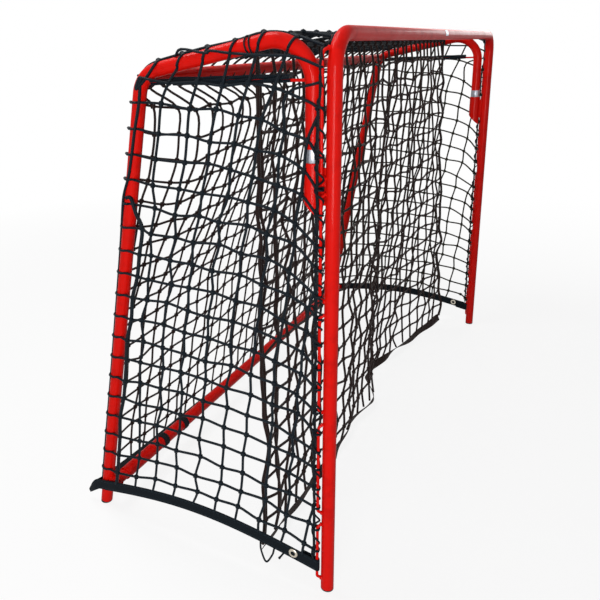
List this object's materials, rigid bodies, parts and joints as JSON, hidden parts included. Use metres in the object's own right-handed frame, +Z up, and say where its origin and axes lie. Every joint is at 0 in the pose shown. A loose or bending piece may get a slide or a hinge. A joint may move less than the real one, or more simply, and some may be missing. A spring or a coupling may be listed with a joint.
{
  "type": "floorball goal",
  "caption": "Floorball goal: a red tubular front frame, a rear frame that lifts out of sockets, a black net bag with webbing hem on lacing rods, and a hanging catch net inside.",
  "frame": {"origin": "on the floor, in the middle of the goal's box", "axes": "+X along the crossbar from the left post to the right post as seen from in front, +Y from the mouth to the rear, +Z up"},
  "size_m": [1.673, 0.6818, 1.1788],
  "materials": {
    "red_paint": "glossy powder coat",
    "black_plastic": "matte",
    "silver_label": "bare foil sticker",
    "eyelet_metal": "nickel plated",
    "net_cord": "knotted braided cord",
    "black_cord": "braided cord",
    "hem_webbing": "woven webbing"
  },
  "bodies": {
    "front": {"front_frame": "red_paint", "crossbar_label": "silver_label", "crossbar_rod_1": "red_paint", "crossbar_rod_2": "red_paint", "crossbar_rod_3": "red_paint", "crossbar_rod_4": "red_paint", "crossbar_rod_5": "red_paint", "crossbar_rod_6": "red_paint", "crossbar_rod_7": "red_paint", "front_foot_plug_left": "black_plastic", "corner_rod_left": "red_paint", "socket_left": "red_paint", "socket_web_left": "red_paint", "post_rod_left_1": "red_paint", "post_rod_left_2": "red_paint", "post_rod_left_3": "red_paint", "post_rod_left_4": "red_paint", "front_foot_plug_right": "black_plastic", "corner_rod_right": "red_paint", "socket_right": "red_paint", "socket_web_right": "red_paint", "post_rod_right_1": "red_paint", "post_rod_right_2": "red_paint", "post_rod_right_3": "red_paint", "post_rod_right_4": "red_paint"},
    "rear": {"rear_top_bar": "red_paint", "base_bar": "red_paint", "back_net": "net_cord", "back_hem": "hem_webbing", "top_net": "net_cord", "hem_cord_loop": "black_cord", "hem_cord_end": "black_cord", "side_frame_left": "red_paint", "rear_foot_plug_left": "black_plastic", "base_elbow_left": "red_paint", "top_spigot_left": "red_paint", "side_rail_left": "red_paint", "stub_label_left": "silver_label", "base_tie_left_1": "black_cord", "base_tie_left_2": "black_cord", "side_net_left": "net_cord", "side_hem_left": "hem_webbing", "hem_eyelet_left": "eyelet_metal", "catch_knot_left": "black_cord", "side_frame_right": "red_paint", "rear_foot_plug_right": "black_plastic", "base_elbow_right": "red_paint", "top_spigot_right": "red_paint", "side_rail_right": "red_paint", "stub_label_right": "silver_label", "base_tie_right_1": "black_cord", "base_tie_right_2": "black_cord", "side_net_right": "net_cord", "side_hem_right": "hem_webbing", "hem_eyelet_right": "eyelet_metal", "catch_knot_right": "black_cord"},
    "catch": {"catch_rope": "black_cord", "catch_net": "net_cord", "catch_hem": "hem_webbing"}
  },
  "joints": [
    {"name": "rear_frame_lift", "type": "slide", "parent": "front", "child": "rear", "axis": [0, 0, 1], "range_m": [0, 0.055]},
    {"name": "catch_net_swing", "type": "hinge", "parent": "rear", "child": "catch", "pos_m": [0, -0.16112, 1.14932], "axis": [1, 0, 0], "range_deg": [-8, 15]}
  ]
}
